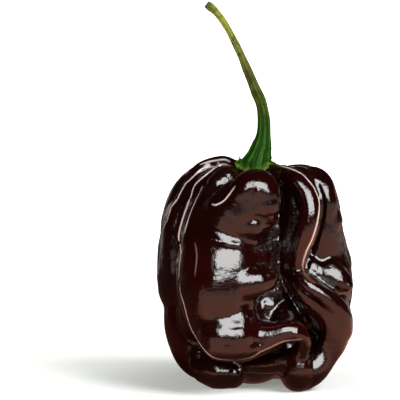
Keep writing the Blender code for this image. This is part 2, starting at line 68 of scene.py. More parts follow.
# Each lobe follows a path: across from the sketch's middle and up from its zero line in sketch units, then
# depth (minus is towards the viewer) and radius in millimetres.
LOBES = {
    "core": [(0, 183, 1.6, 9.6), (0, 129, 1.6, 10.4), (-3, 76, 1.0, 11.0), (-3, 53, 1.0, 9.4)],
    "core_bottom": [(1, 41, 0.0, 5.4), (1, 41, 5.0, 6.0)],
    "valley_floor": [
        (24, 124, -1.0, 3.8), (27, 112, -1.0, 3.9), (29, 100, -0.9, 4.1), (29, 90, -1.2, 4.2),
        (28, 80, -4.2, 4.2), (28, 70, -7.8, 3.6), (28, 64, -9.8, 2.6),
    ],
    "left_deep": [
        (-28, 198, -0.6, 4.6), (-42, 178, -1.8, 5.0), (-48, 150, -2.4, 5.4), (-46, 118, -2.8, 6.4),
        (-44, 80, -2.0, 7.0),
    ],
    "chin_deep": [(-30, 36, -2.0, 5.4), (2, 36, -1.4, 4.6), (28, 40, -2.4, 4.8)],
    "front": [
        (-6, 199, -7.6, 4.0), (-14, 191, -10.6, 4.8), (-20, 183, -10.2, 5.6), (-23, 175, -8.9, 6.9),
        (-25.5, 166, -7.8, 7.8), (-27.5, 159, -7.1, 8.2), (-29.5, 149, -7.0, 8.9), (-31.5, 136, -7.35, 9.35),
        (-33.5, 120, -8.2, 9.4), (-34.5, 109, -8.85, 9.1), (-34.5, 98, -9.1, 8.8), (-34, 90, -8.7, 8.3),
        (-31, 80, -8.8, 7.6), (-28, 72, -9.5, 7.0),
    ],
    "lip_left": [(-35, 92, -9.0, 7.6), (-35, 76, -9.8, 7.0), (-31, 62, -11.0, 6.0)],
    "bulge_high": [(-33, 72, -11.9, 5.6), (-23, 71, -11.9, 5.6)],
    "bulge_low": [(-33, 58, -13.4, 5.1), (-22, 57, -13.5, 5.0)],
    "bulge_bottom": [(-36, 49, -15.1, 3.3), (-22, 47, -15.4, 3.1), (-10, 45.5, -14.7, 2.7)],
    "lip": [
        (-22, 57, -13.4, 5.0), (-12, 56, -12.3, 4.4), (0, 55.5, -11.2, 3.9), (11, 56.5, -12.1, 3.5),
        (20, 58.5, -12.9, 2.9), (29, 62, -13.5, 2.3), (38, 64, -13.5, 1.9), (43, 62.5, -13.0, 1.7),
    ],
    "lip_edge": [
        (-10, 45.5, -14.4, 2.7), (0, 46.5, -13.3, 2.3), (8, 49, -13.5, 2.0), (16, 52.5, -13.9, 1.7),
        (26, 56.5, -14.2, 1.45), (35, 58.5, -14.1, 1.4), (42, 58.5, -13.8, 1.5),
    ],
    "forehead_middle": [
        (-5, 197, -10.8, 4.3), (-13, 186, -11.1, 4.7), (-19, 177, -10.8, 5.0), (-20, 172, -11.9, 3.6),
    ],
    "forehead_right": [
        (1, 194, -11.5, 4.4), (0, 182, -11.1, 4.7), (-2, 174, -11.3, 4.5), (-5, 168, -12.1, 3.2),
    ],
    "forehead_wall": [
        (-9, 193, -12.0, 4.0), (-11, 182, -11.6, 4.3), (-11, 173, -11.7, 4.1), (-12, 167, -12.5, 2.9),
    ],
    "forehead_brim": [
        (-19, 190, -12.7, 2.8), (-12, 199, -12.9, 3.2), (-4, 203, -12.5, 3.8), (3, 201, -12.4, 4.1),
        (8, 195, -12.8, 3.7), (10, 188, -13.2, 3.0),
    ],
    "jowl": [(-16, 110, -12.0, 5.6), (-6, 110.5, -12.9, 4.7), (2, 112, -13.3, 3.7), (8, 113.5, -13.1, 2.9)],
    "lip_curl": [
        (38, 60.5, -14.0, 1.8), (46, 56, -13.2, 1.6), (48.5, 49, -12.4, 1.4), (46.5, 42, -11.8, 1.3),
        (42, 36, -11.4, 1.2),
    ],
    "front_rib": [
        (-17, 210, -2.0, 2.6), (-34, 198, -4.6, 3.5), (-43, 184, -6.0, 3.6), (-50, 168, -7.4, 3.6),
        (-54, 153, -8.4, 4.0), (-51, 135, -8.4, 6.0),
    ],
    "left_fold": [
        (-15, 212, -0.4, 2.4), (-31, 214, -1.2, 2.5), (-43, 209, -1.8, 2.5), (-50, 200, -2.6, 2.5),
        (-55, 182, -3.4, 2.5), (-62, 162, -4.4, 2.5), (-63, 145, -5.4, 2.6), (-63, 129, -6.0, 3.0),
    ],
    "crown_knob": [(-37, 206, -5.4, 2.4), (-29, 214, -4.6, 2.2)],
    "left_middle": [
        (-29, 211, 2.8, 3.4), (-40, 208, 2.6, 3.5), (-53, 201.5, 2.4, 3.6), (-60, 193, 2.1, 3.6),
        (-68, 180, 1.8, 3.6), (-74, 163, 1.4, 3.6), (-76, 145, 1.2, 3.6), (-75, 123, 1.4, 3.9),
    ],
    "left_crown": [
        (-19, 225, 1.0, 1.2), (-31, 229.5, 2.2, 1.3), (-43, 227, 2.8, 1.4), (-54, 222.5, 3.0, 1.4),
        (-63, 214, 3.4, 1.4),
    ],
    "left_back": [
        (-7, 206, 3.5, 4.5), (-37, 205, 5.0, 5.6), (-57, 190, 5.4, 6.0), (-64, 160, 5.0, 6.5),
        (-66, 126, 4.2, 6.7), (-66.5, 104, 3.8, 6.3),
    ],
    "left_foot": [(-65, 84, 3.0, 5.4), (-62, 63, 2.0, 5.8), (-52, 42, 0.8, 6.0), (-40, 31.5, -0.5, 5.2)],
    "right_front": [
        (19, 213, -2.0, 3.0), (30, 209, -3.4, 3.0), (36, 201, -4.4, 3.2), (40, 190, -5.0, 3.4),
        (40, 176, -5.4, 3.4), (38, 161, -5.8, 3.1), (35.5, 146, -5.8, 2.8), (34, 131, -6.0, 2.5),
        (35.5, 121, -6.2, 2.2),
    ],
    "right_front_slope": [
        (31, 214, -6.5, 1.8), (41, 209, -8.1, 2.0), (49, 199, -9.2, 2.0), (53, 187, -9.9, 2.1),
        (53.5, 175, -10.4, 2.1), (51, 161, -10.4, 2.1), (46.5, 147, -9.5, 2.1), (42.5, 135, -8.6, 2.1),
        (40, 126, -7.7, 1.9),
    ],
    "right_front_edge": [
        (20, 221, -3.4, 1.1), (30, 220, -5.8, 1.2), (40, 215, -7.6, 1.2), (49, 207, -8.6, 1.2),
        (55, 197, -9.3, 1.2), (58, 186, -10.0, 1.2), (57.5, 174, -10.7, 1.2), (54.5, 161, -10.9, 1.2),
        (50.5, 149, -10.5, 1.2), (46, 138, -10.0, 1.15), (43, 127, -9.2, 1.1),
    ],
    "right_low": [
        (37, 121, -7.6, 2.2), (44, 110, -7.8, 2.8), (58, 94, -7.6, 3.6), (72, 82, -7.4, 3.8),
        (78, 68, -7.4, 3.7), (75, 52, -7.0, 3.4), (68, 38, -7.2, 3.0), (58, 23, -8.2, 2.9),
        (48, 15.5, -8.2, 2.8),
    ],
    "right_low_edge": [
        (40, 118, -8.8, 1.5), (48, 111, -10.2, 1.5), (56, 104, -10.8, 1.6), (66, 97, -10.6, 1.8),
        (76, 88, -9.4, 2.4), (83, 76, -8.2, 2.6), (84, 62, -7.6, 2.6),
    ],
    "right_deep": [
        (41, 201, -2.5, 5.0), (42, 176, -2.4, 4.8), (36, 146, -1.6, 4.4), (42, 124, -1.4, 4.6),
        (50, 104, -1.4, 5.4), (66, 79, -1.5, 6.0), (65, 58, -1.0, 5.6), (54, 37, -1.5, 4.6),
    ],
    "right_back": [
        (17, 201, 1.0, 4.2), (43, 203, 1.4, 5.0), (55, 199, 0.4, 4.8), (59, 188, 0.0, 5.0),
        (62, 168, -0.4, 5.1), (65, 149, 0.2, 4.9), (67.5, 136, 0.8, 4.9), (71, 120, 1.2, 5.2),
        (70.5, 99, 1.0, 5.5), (61, 68, 2.0, 6.0),
    ],
    "right_back_ridge": [
        (50, 217, 0.4, 1.8), (59, 213, -1.2, 2.4), (64, 207, -2.0, 2.7), (67, 197, -2.9, 2.8),
        (68.5, 186, -3.1, 2.8), (69, 174, -2.8, 2.4),
    ],
    "right_back_knob": [(76, 177, -2.4, 2.0), (77.5, 170, -2.4, 2.0)],
    "right_inner_knob": [(55, 123, -3.0, 2.9), (58, 118, -3.0, 2.9)],
    "right_back_ledge": [
        (58, 116, -0.6, 3.2), (68, 118.5, -2.2, 3.4), (77, 114, -3.0, 3.3), (85, 109, -3.9, 2.4),
        (91, 106, -4.3, 1.4),
    ],
    "right_back_shelf": [(74, 124, -3.2, 2.2), (82, 118, -3.8, 1.8), (90, 112.5, -3.9, 1.3)],
    "chin_left": [
        (-20, 36, 3.6, 5.0), (-36, 29, -0.8, 4.6), (-48, 25, -4.0, 3.4), (-36, 21, -5.2, 3.8),
        (-24, 19, -5.0, 3.2),
    ],
    "chin_left_fold": [
        (-51, 44, -3.6, 1.6), (-57, 34, -4.6, 1.6), (-58, 25, -5.0, 1.7), (-53, 17.5, -5.6, 1.6),
    ],
    "chin_middle": [
        (-6, 27, -7.0, 1.5), (6, 27.5, -8.2, 1.8), (18, 29.5, -8.8, 2.1), (30, 33, -9.0, 2.3),
        (42, 36, -9.8, 2.1),
    ],
    "chin_right": [
        (44, 44, -10.2, 1.8), (43, 33, -10.0, 2.7), (42, 16.5, -9.2, 3.2), (38, 29, -3.4, 4.2),
        (28, 35, 2.0, 4.8),
    ],
    "back_left": [
        (-10, 199, 4.0, 4.5), (-22, 198, 8.5, 5.4), (-35, 176, 11.6, 6.2), (-42, 148, 12.4, 6.9),
        (-36, 118, 11.6, 7.3), (-35, 86, 12.0, 6.8), (-31, 53, 9.6, 6.6), (-20, 38, 7.0, 5.5),
    ],
    "back_middle": [
        (0, 204, 5.0, 3.6), (4, 198, 10.0, 4.0), (2, 178, 14.0, 4.0), (-4, 150, 15.2, 4.0),
        (-3, 120, 14.6, 4.0), (2, 92, 14.8, 3.8), (3, 62, 12.8, 3.6), (2, 44, 10.0, 3.6),
    ],
    "back_right": [
        (12, 199, 4.0, 4.5), (32, 198, 7.6, 5.2), (44, 176, 10.4, 6.4), (47, 146, 11.0, 7.2),
        (46, 118, 11.8, 6.6), (43, 90, 10.6, 7.2), (38, 60, 9.8, 6.9), (27, 39, 7.0, 6.0),
    ],
}

# Creases and ridges: side they are drawn from, width and height in millimetres (minus is a groove), and a
# path of points across and up in sketch units.
FOLDS = [
    (FRONT, 1.1, -0.5, [(15, 97), (5, 94), (-7, 91), (-19, 88)]),
    (FRONT, 1.0, -0.35, [(-15, 213), (-24, 201), (-31, 193), (-41, 186)]),
    (BACK, 1.2, -0.7, [(-58, 150), (-44, 141), (-34, 128), (-30, 112)]),
    (BACK, 1.4, -0.6, [(60, 96), (46, 88), (30, 92)]),
    (BACK, 1.0, 0.5, [(-44, 104), (-40, 84), (-42, 60)]),
    (BACK, 1.2, -0.5, [(30, 168), (40, 150), (38, 126)]),
    (LEFT, 1.3, -0.6, [(-30, 150), (-18, 128), (-16, 100)]),
    (RIGHT, 1.2, -0.6, [(40, 168), (28, 140), (30, 108), (24, 84)]),
    (RIGHT, 1.1, 0.5, [(6, 150), (8, 128), (2, 110)]),
]

# Thin raised edges where one fold overlaps the next: the side they are drawn from, which way the skin drops
# behind the edge (-1 left, 1 right), the height of the crest and of the drop in millimetres, how strong the
# pale painted highlight along the edge is, and a path.
RIBS = [
    (FRONT, -1, 0.1, 0.1, 0.8, [
        (-24.3, 229), (-30.7, 231.5), (-40.7, 230.6), (-48, 229), (-56, 226.6),
    ]),
    (FRONT, -1, 0.12, 0.2, 0.9, [
        (-38, 224.6), (-46.4, 224), (-53.6, 221.7), (-62, 213.9), (-69.3, 206.7), (-74.3, 198), (-78, 191),
        (-83.6, 184), (-85.7, 176.7), (-91, 162),
    ]),
    (FRONT, -1, 0.14, 0.2, 1.0, [
        (-22, 224.6), (-30.7, 226.7), (-36.4, 225.3), (-48, 216.7), (-55.7, 210.3), (-60.7, 204),
        (-63.6, 195.3), (-67.9, 184), (-71.4, 174), (-75, 161), (-75.7, 152.4), (-73.4, 141), (-75, 127),
        (-76, 112),
    ]),
    (FRONT, -1, 0.14, 0.2, 0.9, [(-52, 205.3), (-58, 192.4), (-63.6, 179.6), (-67.9, 166.7), (-70, 158)]),
    (FRONT, -1, 0.14, 0.3, 0.9, [(-21, 206), (-26.4, 198), (-32, 191), (-39.3, 186.7), (-44, 187.4)]),
    (FRONT, -1, 0.08, 0.1, 0.15, [(-60, 150), (-58, 136), (-60, 116)]),
    (FRONT, -1, 0.05, 0.0, 0.55, [
        (-75, 110), (-74, 100), (-70.5, 88), (-65, 68), (-56, 51.5), (-46.5, 40), (-36, 35), (-20, 34),
    ]),
    (FRONT, -1, 0.05, 0.0, 0.4, [(-20, 34), (-5, 36.5), (5, 42), (16, 47), (27, 52), (40, 54), (46, 54)]),
    (FRONT, 1, 0.14, 0.5, 1.0, [
        (22, 225.5), (33, 222.5), (45, 217), (53, 209), (58.5, 200.5), (62.3, 188), (61, 173), (58, 161),
        (54.5, 151), (50, 141), (46.5, 129), (47, 121),
    ]),
]
# Widths of a rib's crest and of the drop beside it in millimetres, and the sketch units between them.
CREST_WIDTH, DROP_WIDTH, DROP_AWAY = 0.15, 0.6, 4.5
# Half the width in millimetres of the band along a rib whose faces are made smaller.
RIB_BAND = 0.36

# Small wrinkles where the skin is squeezed between two swellings.
WRINKLES = [
    (FRONT, 0.35, -0.08, [(-8, 178), (-1, 178), (7, 181), (13, 181)]),
    (FRONT, 0.35, -0.08, [(4, 171), (13, 174.6), (17, 175.3), (23, 177)]),
    (FRONT, 0.35, -0.09, [(4, 164.6), (12, 167), (17, 167), (24, 169)]),
    (FRONT, 0.4, -0.06, [(-20, 154), (-10, 156), (0, 155), (14, 156), (20, 157)]),
    (FRONT, 0.4, 0.2, [(12, 150), (16, 145), (14, 138)]),
    (FRONT, 0.4, 0.18, [(20, 182), (26, 180)]),
    (FRONT, 0.4, 0.16, [(14, 175), (24, 174)]),
    (FRONT, 0.4, 0.2, [(22, 196), (22, 188)]),
    (FRONT, 0.4, 0.14, [(42.5, 191), (42.5, 177.4)]),
    (FRONT, 0.4, 0.16, [(38, 153), (42, 156)]),
    (FRONT, 0.35, 0.14, [(17, 100), (27, 102), (36, 99)]),
    (FRONT, 0.35, 0.14, [(18, 107), (26, 109), (33, 107)]),
    (FRONT, 0.35, 0.16, [(35, 98), (43, 88), (47, 74), (50, 69)]),
    (FRONT, 0.35, 0.2, [(8, 92), (13, 87), (22, 88)]),
    (FRONT, 0.4, 0.2, [(-9, 76), (-3, 78), (2, 83)]),
]

# Where the skin is knotted and shrunken between the lobes, and coloured darker there, partly as painted
# shade: side, width in millimetres and path.
KNOTS = [
    (FRONT, 1.4, [(22, 192), (24, 180), (24, 168)]),
    (FRONT, 1.6, [(20, 104), (32, 92), (40, 76)]),
    (FRONT, 2.0, [(-38, 207), (-29, 215)]),
    (FRONT, 2.0, [(-34, 70), (-22, 68)]),
    (FRONT, 1.6, [(-40, 220), (-32, 212), (-26, 206)]),
    (FRONT, 1.4, [(-60, 38), (-44, 33), (-30, 28)]),
    (FRONT, 1.3, [(52, 48), (56, 34), (58, 20)]),
    (FRONT, 1.2, [(-12, 155), (2, 155), (14, 153)]),
    (FRONT, 1.6, [(66, 196), (72, 184), (78, 172)]),
    (BACK, 1.8, [(-12, 205), (-14, 170), (-20, 130)]),
    (BACK, 1.8, [(14, 205), (20, 160), (18, 110), (12, 60)]),
    (LEFT, 1.8, [(-2, 205), (0, 150), (2, 90)]),
    (RIGHT, 1.8, [(4, 200), (-6, 150), (0, 100)]),
]

# Where the flesh shows deep red through the skin, then where an amber highlight is painted in a fold.
RED_PLACES = [
    (FRONT, 3.0, [(-8, 142), (8, 136), (12, 128)]),
    (FRONT, 2.6, [(-62, 150), (-56, 120), (-50, 96)]),
    (FRONT, 3.2, [(-84, 88), (-82, 62), (-78, 44)]),
    (FRONT, 2.4, [(-18, 219), (-8, 214), (6, 212)]),
    (FRONT, 3.0, [(44, 196), (50, 180), (46, 150)]),
    (FRONT, 2.6, [(-20, 60), (10, 64), (36, 64)]),
    (FRONT, 3.0, [(38, 46), (44, 26)]),
    (BACK, 4.0, [(-40, 160), (-34, 120)]),
    (BACK, 4.0, [(36, 90), (40, 50)]),
]
AMBER_GLINT_PLACES = [
    (FRONT, 0.25, [(48.5, 131), (47.5, 124), (48.5, 118), (53, 113), (58, 110)]),
]

# Random relief: the size and height of its swellings in millimetres, and its seed. First all over the skin,
# then where it is knotted.
DIMPLES = [(4.5, 0.05, 1), (1.5, 0.02, 4)]
KNOT_LUMPS = [(1.4, 0.1, 2), (0.8, 0.08, 3)]

# A stroke is felt out to a few of its widths and fades over a share of its length at each end.
STROKE_REACH, STROKE_TAPER = 3, 0.25
# It is lifted where its path leaps from one fold to the next, and sooner if it is a fine one. Widths under
# this many millimetres are fine.
LONGEST_STEP, LONGEST_FINE_STEP = 3 * MM, 1.2 * MM
FINE_STROKE = 0.5
# The weight from which faces under a stroke are made smaller.
FELT = 0.1


def from_sketch(across, up, depth):
    """Real place of a sketch point at a depth in millimetres."""
    height = up * SKETCH_UNIT + SKETCH_FLOOR
    y = depth * MM
    return (across * SKETCH_UNIT, y, (height - y * math.sin(SKETCH_ABOVE)) / math.cos(SKETCH_ABOVE))


def smooth_path(points, steps=STEPS_PER_SPAN):
    """A smooth curve through points, each a row of any length."""
    p = np.array(points, float)
    p = np.vstack([2 * p[0] - p[1], p, 2 * p[-1] - p[-2]])
    out = []
    for i in range(1, len(p) - 2):
        a, b, c, d = p[i - 1 : i + 3]
        bend = 2 * a - 5 * b + 4 * c - d
        twist = 3 * b - a - 3 * c + d
        for t in np.arange(steps) / steps:
            out.append(0.5 * (2 * b + (c - a) * t + bend * t**2 + twist * t**3))
    out.append(p[-2])
    return np.array(out)


def bridged(name, loops):
    """A closed mesh through loops of points, with flat ends."""
    bm = bmesh.new()
    rings = [[bm.verts.new(p) for p in loop] for loop in loops]
    count = len(rings[0])
    for low, high in zip(rings, rings[1:]):
        for i in range(count):
            j = (i + 1) % count
            bm.faces.new((low[i], low[j], high[j], high[i]))
    bm.faces.new(rings[0][::-1])
    bm.faces.new(rings[-1])
    bmesh.ops.recalc_face_normals(bm, faces=bm.faces)
    mesh = bpy.data.meshes.new(name)
    bm.to_mesh(mesh)
    bm.free()
    return mesh


def turns_of(sides):
    """Equal turns once round a ring, in radians."""
    return np.arange(sides) * 2 * math.pi / sides


def rings_along(centres, radii, sides, side):
    """Rings square to a path, each turned as little as possible from the last."""
    tangents = np.gradient(centres, axis=0)
    tangents /= np.linalg.norm(tangents, axis=1)[:, None]
    turns = turns_of(sides)
    rings = []
    for centre, radius, tangent in zip(centres, radii, tangents):
        side = side - tangent * side.dot(tangent)
        side = side / np.linalg.norm(side)
        up = np.cross(tangent, side)
        radius = np.broadcast_to(radius, sides)
        rings.append([centre + r * (math.cos(a) * side + math.sin(a) * up) for a, r in zip(turns, radius)])
    return rings


def lobe(name, points):
    """A round-ended swelling of changing radius along a smooth path."""
    path = smooth_path([(*from_sketch(*p[:3]), p[3] * MM) for p in points])
    centres, radii = path[:, :3], np.maximum(path[:, 3], THINNEST_LOBE)
    start, end = centres[0] - centres[1], centres[-1] - centres[-2]
    start, end = start / np.linalg.norm(start), end / np.linalg.norm(end)
    angles = np.radians(np.linspace(LOBE_END_ANGLE, 0, LOBE_END_RINGS + 1)[:-1])
    head = [centres[0] + start * radii[0] * math.sin(a) for a in angles]
    tail = [centres[-1] + end * radii[-1] * math.sin(a) for a in angles[::-1]]
    ends = [math.cos(a) for a in angles]
    all_centres = np.array([*head, *centres, *tail])
    all_radii = np.array([*(radii[0] * e for e in ends), *radii, *(radii[-1] * e for e in ends[::-1])])
    first = np.array([1.0, 0, 0]) if abs(start[0]) < 0.8 else np.array([0, 1.0, 0])
    return bridged(name, rings_along(all_centres, all_radii, RING_SIDES, first))


def joined(name, meshes):
    """Several meshes as one, not yet fused."""
    bm = bmesh.new()
    for mesh in meshes:
        bm.from_mesh(mesh)
        bpy.data.meshes.remove(mesh)
    mesh = bpy.data.meshes.new(name)
    bm.to_mesh(mesh)
    bm.free()
    return mesh


def with_modifiers(mesh, *modifiers):
    """The mesh as it is after modifiers, each a kind and its settings."""
    obj = bpy.data.objects.new("work", mesh)
    bpy.context.scene.collection.objects.link(obj)
    for kind, settings in modifiers:
        modifier = obj.modifiers.new(kind.lower(), kind)
        for key, value in settings.items():
            setattr(modifier, key, value)
    graph = bpy.context.evaluated_depsgraph_get()
    result = bpy.data.meshes.new_from_object(obj.evaluated_get(graph))
    bpy.data.objects.remove(obj)
    return result


def island_from(vert, seen):
    """All points of the skin that are connected to one, which are noted as seen."""
    island, stack = [], [vert]
    seen.add(vert.index)
    while stack:
        v = stack.pop()
        island.append(v)
        for edge in v.link_edges:
            other = edge.other_vert(v)
            if other.index not in seen:
                seen.add(other.index)
                stack.append(other)
    return island


def outer_skin(mesh):
    """Only the largest connected skin, without any pocket closed inside it."""
    bm = bmesh.new()
    bm.from_mesh(mesh)
    bm.verts.ensure_lookup_table()
    seen, islands = set(), []
    for vert in bm.verts:
        if vert.index not in seen:
            islands.append(island_from(vert, seen))
    islands.sort(key=len)
    bmesh.ops.delete(bm, geom=[v for island in islands[:-1] for v in island], context="VERTS")
    bm.to_mesh(mesh)
    bm.free()
    return mesh


def coordinates(mesh, attribute="co"):
    """A row of three numbers for each point of the mesh: its place, or its normal."""
    values = np.empty(len(mesh.vertices) * 3, np.float32)
    mesh.vertices.foreach_get(attribute, values)
    return values.reshape(-1, 3).astype(float)


def surface_of(mesh):
    """The mesh's surface, to be looked up by rays."""
    bm = bmesh.new()
    bm.from_mesh(mesh)
    surface = BVHTree.FromBMesh(bm)
    bm.free()
    return surface


def dropped_path(surface, side, points):
    """A sketch path laid on the skin, seen from one side of the pod."""
    c, s = math.cos(SKETCH_ABOVE), math.sin(SKETCH_ABOVE)
    a = math.radians(BEARINGS[side])
    right = Vector((math.cos(a), math.sin(a), 0))
    level = Vector((-math.sin(a), math.cos(a), 0))
    up, inward = level * s + Vector((0, 0, c)), level * c - Vector((0, 0, s))
    out = []
    for across, height in smooth_path(points):
        start = right * (across * SKETCH_UNIT) + up * (height * SKETCH_UNIT + SKETCH_FLOOR)
        hit = surface.ray_cast(start - inward * OUTSIDE, inward)[0]
        if hit is not None:
            out.append(tuple(hit))
    return np.array(out)


def stroke(skin, side, width, points, taper=STROKE_TAPER):
    """How much each point of the skin lies under a soft stroke along a drawn path, 0 to 1."""
    surface, places = skin
    weight = np.zeros(len(places))
    path = dropped_path(surface, side, points)
    if len(path) < 2:
        return weight
    reach = STROKE_REACH * width * MM
    near = np.nonzero(((places > path.min(0) - reach) & (places < path.max(0) + reach)).all(1))[0]
    best, along = np.full(len(near), OUTSIDE), np.zeros(len(near))
    longest = LONGEST_FINE_STEP if width < FINE_STROKE else LONGEST_STEP
    for k, (a, b) in enumerate(zip(path, path[1:])):
        if np.linalg.norm(b - a) > longest:
            continue
        t = np.clip(((places[near] - a) @ (b - a)) / max((b - a) @ (b - a), 1e-12), 0, 1)
        distance = np.linalg.norm(places[near] - (a + t[:, None] * (b - a)), axis=1)
        closer = distance < best
        best[closer], along[closer] = distance[closer], (k + t[closer]) / (len(path) - 1)
    fade = np.clip(np.minimum(along, 1 - along) / taper, 0, 1) ** 0.6 if taper else 1
    weight[near] = np.exp(-((best / (width * MM)) ** 2)) * fade
    return weight


def strokes(skin, drawn):
    """The strongest of several strokes at each point."""
    weight = np.zeros(len(skin[1]))
    for side, width, points in drawn:
        weight = np.maximum(weight, stroke(skin, side, width, points, 0))
    return weight


def rib_strokes():
    """A narrow crest along each rib's edge, and a groove beside it where the skin drops to the next fold."""
    made = []
    for side, way, crest, drop, _, points in RIBS:
        path = np.array(points, float)
        along = np.gradient(path, axis=0)
        along /= np.linalg.norm(along, axis=1)[:, None]
        beside = np.stack([along[:, 1], -along[:, 0]], axis=1)
        beside *= np.sign(beside[:, :1] + 1e-9) * way
        made.append((side, CREST_WIDTH, crest, points))
        made.append((side, DROP_WIDTH, -drop, path + beside * DROP_AWAY))
    return made


def refined(mesh, weight):
    """The mesh with smaller faces where the weight is felt."""
    bm = bmesh.new()
    bm.from_mesh(mesh)
    near = [e for e in bm.edges if min(weight[v.index] for v in e.verts) > FELT]
    bmesh.ops.subdivide_edges(bm, edges=near, cuts=1, use_grid_fill=True)
    bm.to_mesh(mesh)
    bm.free()
    return mesh


def relief(places, kinds):
    """Smooth random relief in metres, from swellings of several sizes."""
    push = np.zeros(len(places))
    for size, height, seed in kinds:
        shift = Vector((seed * 7.3, seed * 3.1, seed * 5.7))
        scale = 1 / (size * MM)
        push += height * MM * np.array([noise.noise(Vector(p) * scale + shift) for p in places])
    return push


def keep_mask(mesh, name, values):
    """A value at every point of the mesh, which its material reads by name."""
    mesh.attributes.new(name, "FLOAT", "POINT").data.foreach_set("value", values.astype(np.float32))


def cut_flat(mesh):
    """The low ends cut flat at the floor, as the pod sits."""
    bm = bmesh.new()
    bm.from_mesh(mesh)
    floor = {"plane_co": (0, 0, 0), "plane_no": (0, 0, 1)}
    geometry = bm.verts[:] + bm.edges[:] + bm.faces[:]
    bmesh.ops.bisect_plane(bm, geom=geometry, dist=1e-6, clear_inner=True, **floor)
    bmesh.ops.holes_fill(bm, edges=[e for e in bm.edges if e.is_boundary], sides=0)
    bmesh.ops.recalc_face_normals(bm, faces=bm.faces)
    bm.to_mesh(mesh)
    bm.free()
    return mesh


def fused_lobes():
    """All lobes fused into one soft skin."""
    lobes = joined("lobes", [lobe(name, points) for name, points in LOBES.items()])
    mesh = with_modifiers(
        lobes,
        ("REMESH", {"mode": "VOXEL", "voxel_size": SKIN_CELL}),
        ("SMOOTH", {"factor": 0.5, "iterations": SKIN_SOFTENING}),
    )
    return outer_skin(mesh)


def pod_mesh():
    """The fused lobes, with folds, ribs, wrinkles and knots pushed into their skin."""
    mesh = fused_lobes()
    surface = surface_of(mesh)
    rib_lines = [(side, RIB_BAND, points) for side, _, _, _, _, points in RIBS]
    mesh = refined(mesh, strokes((surface, coordinates(mesh)), rib_lines))
    places, normals = coordinates(mesh), coordinates(mesh, "normal")
    skin = (surface, places)
    knots = strokes(skin, KNOTS)
    push = np.zeros(len(places))
    for side, width, height, points in FOLDS + WRINKLES + rib_strokes():
        push += height * MM * stroke(skin, side, width, points)
    push += relief(places, DIMPLES) + knots * relief(places, KNOT_LUMPS)
    # Painted highlight: a pale colour along each rib's crest stands in for the rim light it catches.
    rim_highlight = np.zeros(len(places))
    for side, _, _, _, highlight_strength, points in RIBS:
        rim_highlight = np.maximum(rim_highlight, highlight_strength * stroke(skin, side, CREST_WIDTH, points))
    keep_mask(mesh, "knotted", knots)
    keep_mask(mesh, "red_flesh", strokes(skin, RED_PLACES))
    keep_mask(mesh, "painted_amber_glint", strokes(skin, AMBER_GLINT_PLACES))
    keep_mask(mesh, "painted_rim_highlight", rim_highlight)
    mesh.vertices.foreach_set("co", (places + normals * push[:, None]).astype(np.float32).ravel())
    mesh = with_modifiers(mesh, ("SMOOTH", {"factor": 0.5, "iterations": 1}))
    return cut_flat(mesh)


STEM_SIDES = 120
STEM_STEPS = 6
STEM_TURNS = turns_of(STEM_SIDES)
# Ridges run up the stem and out over the calyx: main ones, not quite evenly spread, and finer ones between.
MAIN_RIDGES, FINE_RIDGES = 9, 21
RIDGE_PROFILE = np.cos(MAIN_RIDGES * STEM_TURNS + 0.6 * np.sin(2 * STEM_TURNS))
RIDGE_PROFILE += 0.5 * np.cos(FINE_RIDGES * STEM_TURNS + 1.0)

CALYX_CENTRE = (0.1 * MM, -0.6 * MM)
CALYX_RADIUS = 3.9 * MM
CALYX_TEETH = 5
# How far teeth, oval outline and ragged rim change the calyx's radius, as shares of it.
TOOTH_DEPTH, OVAL_DEPTH, RAGGED_DEPTH = 0.13, 0.06, 0.16
# Small teeth that curl up at the rim: bearing in degrees, width in radians and size.
CURLED_TEETH = [(166, 0.07, 0.9), (182, 0.06, 1.0), (196, 0.06, 0.7)]
# How far such a tooth reaches out and up, and the share of the calyx's reach from which it curls.
CURL_REACH, CURL_RISE, CURL_START = 0.55 * MM, 1.25 * MM, 0.75
# Rings of the calyx, from its underside over its rim and up: share of its reach, height over the crown in
# millimetres (minus is sunk in), and how far it has drawn up towards the neck, 0 to 1.
CALYX_RINGS = [
    (0.3, -0.2, 0.0), (0.6, -0.2, 0.0), (0.9, -0.2, 0.0), (1.0, -0.1, 0.0), (1.02, 0.12, 0.0),
    (0.97, 0.26, 0.0), (0.9, 0.32, 0.03), (0.83, 0.4, 0.1), (0.77, 0.5, 0.2), (0.72, 0.6, 0.34),
]
# Where the calyx draws up to, and how much sooner its radius gets there than its height.
NECK_RADIUS, NECK_HEIGHT, NECK_DRAW = 3.1 * MM, 46.9 * MM, 2.4
# Height of the ridges on calyx and neck, then on the stem as a share of its radius.
CALYX_RIDGE, NECK_RIDGE, STEM_RIDGE = 0.05 * MM, 0.1 * MM, 0.035
# Rings of the flare above the calyx: lean to the right, radius and height, in millimetres.
NECK_RINGS = [(0.22, 2.95, 46.4), (0.4, 2.72, 46.9), (0.55, 2.5, 47.35), (0.75, 2.28, 47.9)]
# The stem's middle line, at one depth in millimetres: across and up in sketch units, radius in millimetres.
STEM_DEPTH = -0.6
STEM_PATH = [
    (6.0, 244, 2.05), (7.7, 253, 1.55), (8.5, 265, 1.32), (7.8, 276, 1.18), (5.4, 288, 1.14),
    (0.6, 299, 1.08), (-4.3, 311, 0.98), (-9, 322, 0.88), (-14, 334, 0.78), (-19.3, 345, 0.72),
    (-25.4, 357, 0.66), (-32, 368, 0.66), (-38.6, 376.5, 0.72), (-44, 381.5, 0.84), (-48, 384.4, 0.8),
]
# Rings that round the cut tip: share of the last ring, and millimetres beyond it.
TIP_RINGS = [(0.93, 0.09), (0.8, 0.13), (0.6, 0.1), (0.3, 0.05)]
# How dry and pale each ring is, from the calyx's underside up.
MARGIN_RINGS = [1, 1, 1, 1, 1, 1, 0.8, 0.45, 0.2, 0.05]

# The crown is felt at a place and all round it.
PROBE_REACH = 0.45 * MM
PROBES = [(0, 0), (1, 0), (-1, 0), (0, 1), (0, -1), (0.7, 0.7), (-0.7, 0.7), (0.7, -0.7), (-0.7, -0.7)]


